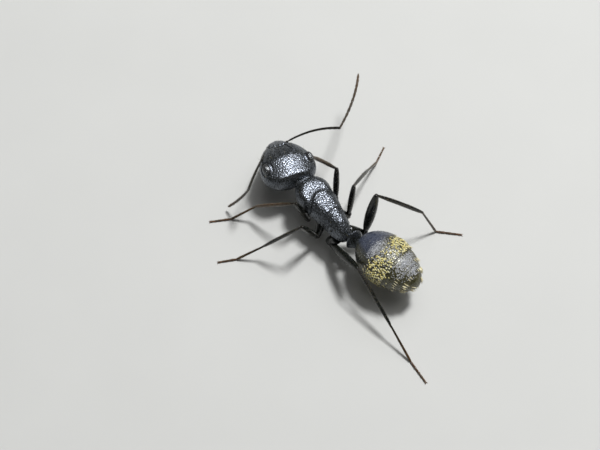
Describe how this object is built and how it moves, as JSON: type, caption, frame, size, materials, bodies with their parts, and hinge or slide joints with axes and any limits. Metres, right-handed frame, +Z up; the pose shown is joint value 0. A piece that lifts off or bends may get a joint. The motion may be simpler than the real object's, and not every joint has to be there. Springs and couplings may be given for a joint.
{
  "type": "carpenter ant worker, still life-size model",
  "caption": "Life-size black carpenter ant worker with a gold-haired gaster, standing alert on small flats under its feet, antennae spread.",
  "frame": {"origin": "floor level, under the middle of the ant's bounding box", "axes": "the ant faces -Y, its left side is +X, +Z is up"},
  "size_m": [0.0126, 0.0164, 0.0047],
  "materials": {
    "head_shell": "black finely pitted shell with a blue-grey sheen",
    "eye": "black faceted eye",
    "mandible": "dark red-brown polished jaw",
    "antenna": "dark brown satin shell with fine hair",
    "trunk_shell": "black finely netted shell with a blue-grey sheen",
    "leg": "black satin shell",
    "foot": "brown jointed foot with short hair",
    "gaster_shell": "dark olive-black plates under lying gold hair"
  },
  "bodies": {
    "root": {"head": "head_shell", "eye_left": "eye", "mandible_left": "mandible", "scape_left": "antenna", "funiculus_left": "antenna", "eye_right": "eye", "mandible_right": "mandible", "scape_right": "antenna", "funiculus_right": "antenna", "pronotum": "trunk_shell", "mesothorax": "trunk_shell", "propodeum": "trunk_shell", "petiole": "trunk_shell", "coxa_front_left": "leg", "femur_front_left": "leg", "tibia_front_left": "leg", "tarsus_front_left": "foot", "coxa_front_right": "leg", "femur_front_right": "leg", "tibia_front_right": "leg", "tarsus_front_right": "foot", "coxa_middle_left": "leg", "femur_middle_left": "leg", "tibia_middle_left": "leg", "tarsus_middle_left": "foot", "coxa_middle_right": "leg", "femur_middle_right": "leg", "tibia_middle_right": "leg", "tarsus_middle_right": "foot", "coxa_hind_left": "leg", "femur_hind_left": "leg", "tibia_hind_left": "leg", "tarsus_hind_left": "foot", "coxa_hind_right": "leg", "femur_hind_right": "leg", "tibia_hind_right": "leg", "tarsus_hind_right": "foot", "gaster_1": "gaster_shell", "gaster_2": "gaster_shell", "gaster_3": "gaster_shell", "gaster_4": "gaster_shell", "gaster_5": "gaster_shell"}
  },
  "joints": []
}
